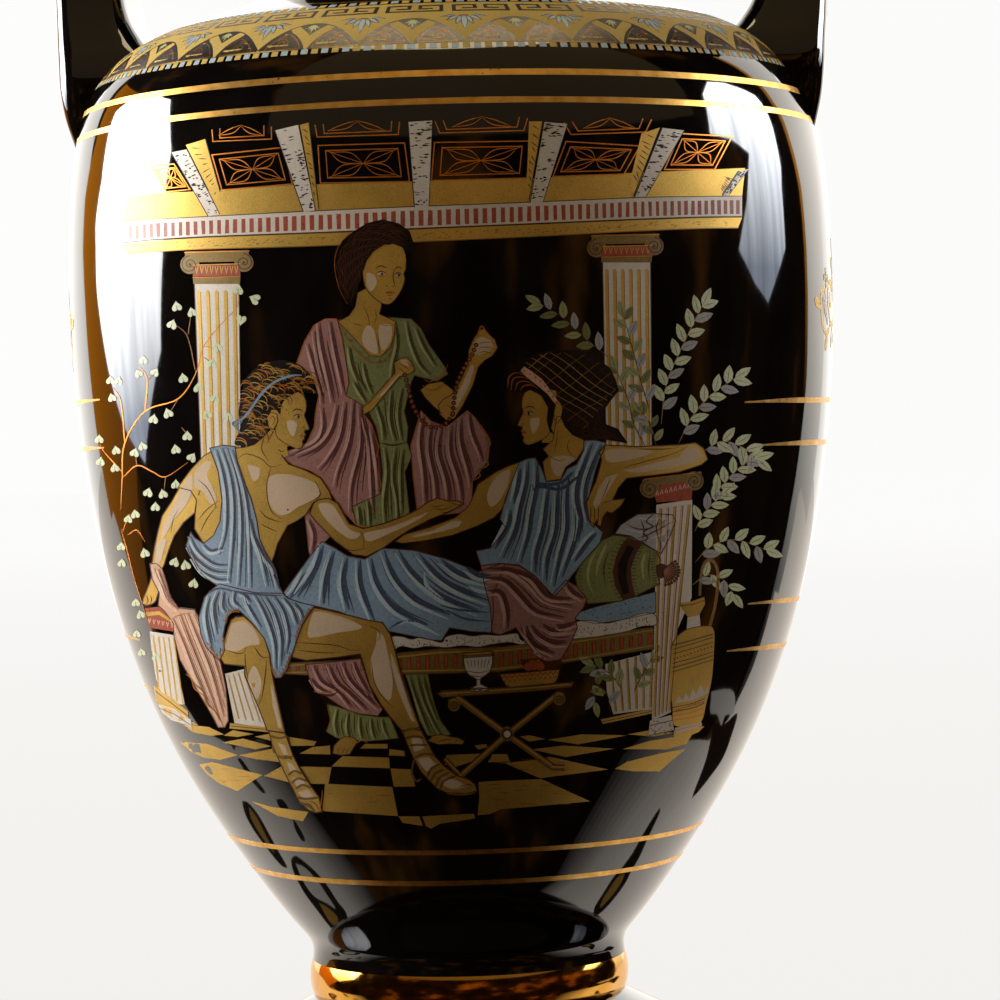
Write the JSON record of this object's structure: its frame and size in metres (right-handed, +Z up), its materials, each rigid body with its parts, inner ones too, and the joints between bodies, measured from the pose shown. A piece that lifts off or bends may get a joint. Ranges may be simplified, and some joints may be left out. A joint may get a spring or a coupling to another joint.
{
  "type": "amphora",
  "caption": "Footed neck amphora with two upright strap handles, black glaze and an enamelled figure scene between gold lines.",
  "frame": {"origin": "on the resting plane, at the vessel's axis", "axes": "+Z up along the vessel's axis; the handles lie on +X and -X; the painted front faces -Y"},
  "size_m": [0.184, 0.1808, 0.352],
  "materials": {
    "black_glaze": "high gloss black glaze over porcelain",
    "bright_gold": "fired bright gold, mirror polished",
    "matt_gold": "fired matt gold paint, slightly uneven",
    "light_enamel": "silvery white overglaze enamel",
    "colour_enamel": "coloured overglaze enamels",
    "biscuit": "unglazed biscuit under the foot"
  },
  "bodies": {
    "root": {"foot": "black_glaze", "waist_bead": "bright_gold", "belly": "black_glaze", "neck": "black_glaze", "mouth_ring": "black_glaze", "handle_left": "black_glaze", "handle_right": "black_glaze"}
  },
  "joints": []
}
